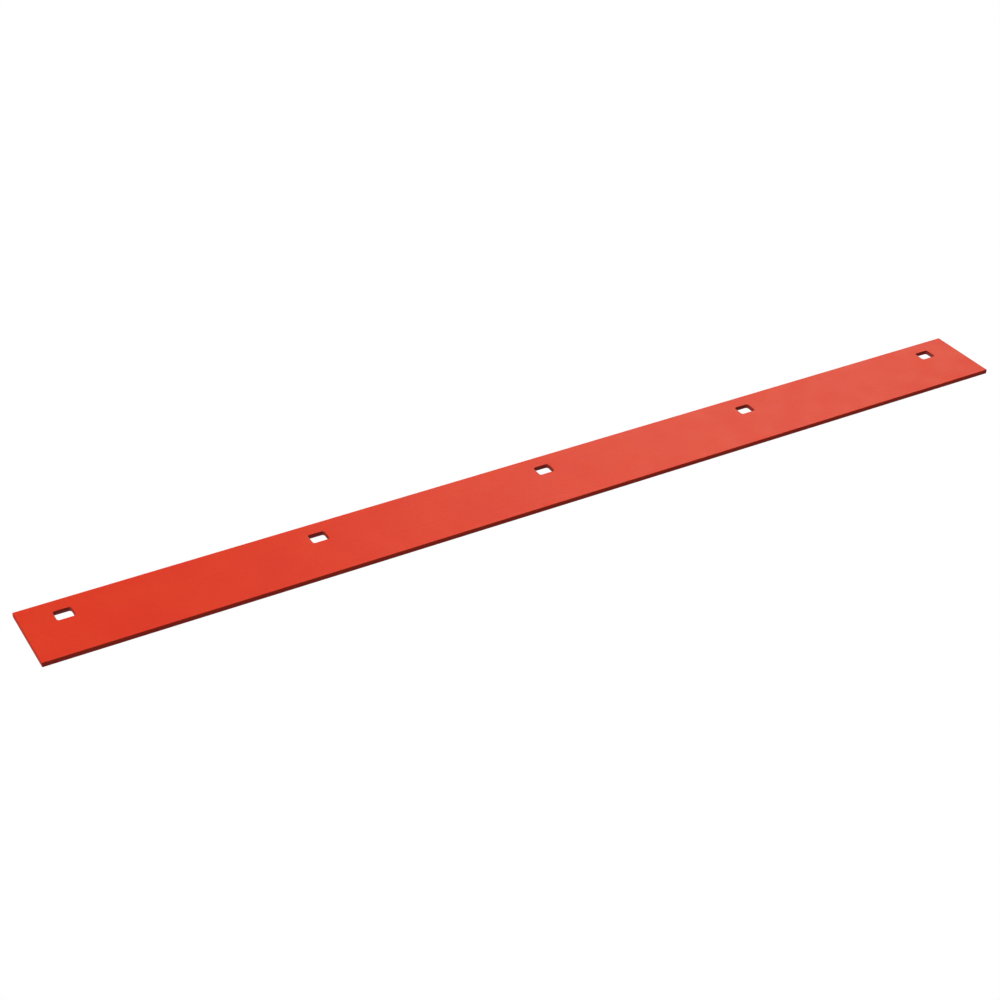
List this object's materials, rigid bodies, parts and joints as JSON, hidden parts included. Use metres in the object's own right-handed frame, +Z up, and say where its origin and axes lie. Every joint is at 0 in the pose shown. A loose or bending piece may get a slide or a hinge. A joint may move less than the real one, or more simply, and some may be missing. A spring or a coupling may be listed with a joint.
{
  "type": "plow blade wear bar",
  "caption": "Long flat steel bar, painted, with rectangular bolt slots punched in a row near a long edge: a replaceable cutting edge for a small plow blade.",
  "frame": {"origin": "centre of the underside, the face that lies against the blade", "axes": "+X along the bar, +Y across it towards the edge that the slots are near, +Z up through its thickness"},
  "size_m": [1.3716, 0.1016, 0.0063],
  "materials": {
    "red_paint": "gloss red-orange paint over hot-rolled steel"
  },
  "bodies": {
    "root": {"cutting_edge_bar": "red_paint"}
  },
  "joints": []
}
